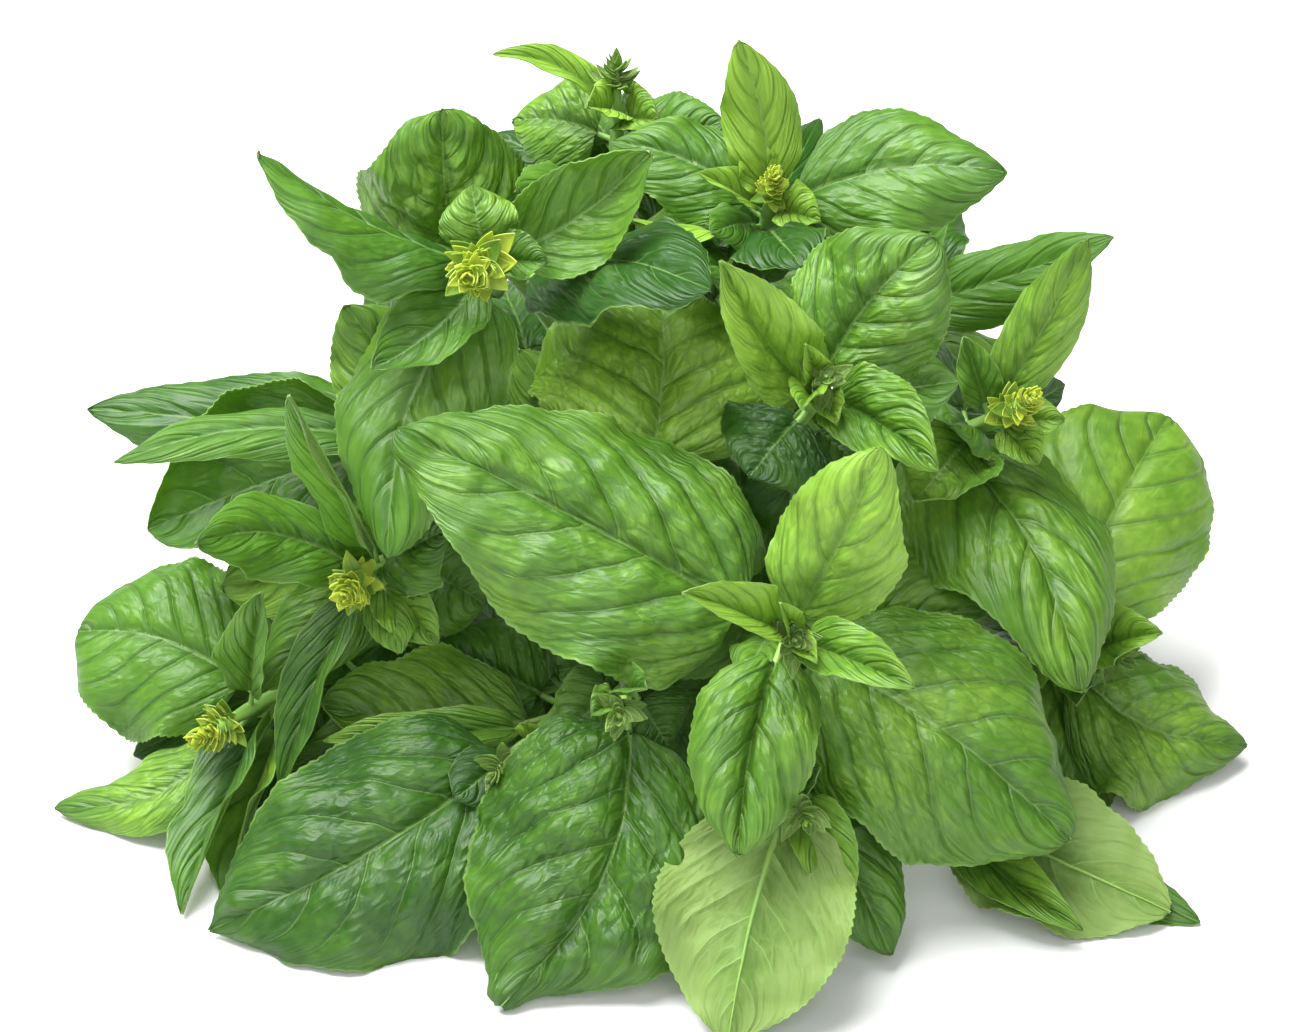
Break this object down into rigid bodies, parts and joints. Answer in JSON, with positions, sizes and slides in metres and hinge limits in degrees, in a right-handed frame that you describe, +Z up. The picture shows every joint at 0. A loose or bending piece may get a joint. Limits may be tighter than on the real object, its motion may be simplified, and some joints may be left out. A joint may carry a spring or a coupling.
{
  "type": "bunch of sweet basil",
  "caption": "Bunch of cut sweet basil lying on its side, leafy tops fanned out, some ending in flower spikes, bare stems held by a band.",
  "frame": {"origin": "middle of the bunch's box on the surface that it lies on", "axes": "+Z up from the surface, +Y towards the cut ends, -Y towards the leafy tops, +X to the right seen from the tops"},
  "size_m": [0.2825, 0.3184, 0.1661],
  "materials": {
    "leaf": "fresh green leaf, satin upper side, paler matt underside",
    "flower_spike": "yellow-green bracts, matt",
    "band": "plain natural rubber band, matt"
  },
  "bodies": {
    "root": {"band": "band", "sprig_front": "leaf", "sprig_upper_front": "leaf", "sprig_upper_left": "leaf", "sprig_top": "leaf", "sprig_right": "leaf", "sprig_right_low": "leaf", "sprig_left": "leaf", "sprig_lower_left": "leaf", "sprig_left_upper": "leaf", "sprig_front_left": "leaf", "sprig_low_left": "leaf", "sprig_front_low": "leaf", "sprig_right_bottom": "leaf", "sprig_middle": "leaf", "sprig_back_top": "leaf", "sprig_back_left": "leaf", "sprig_back_right": "leaf", "flower_spike_upper_left": "flower_spike", "flower_spike_top": "flower_spike", "flower_spike_right": "flower_spike", "flower_spike_left": "flower_spike", "flower_spike_lower_left": "flower_spike"}
  },
  "joints": []
}
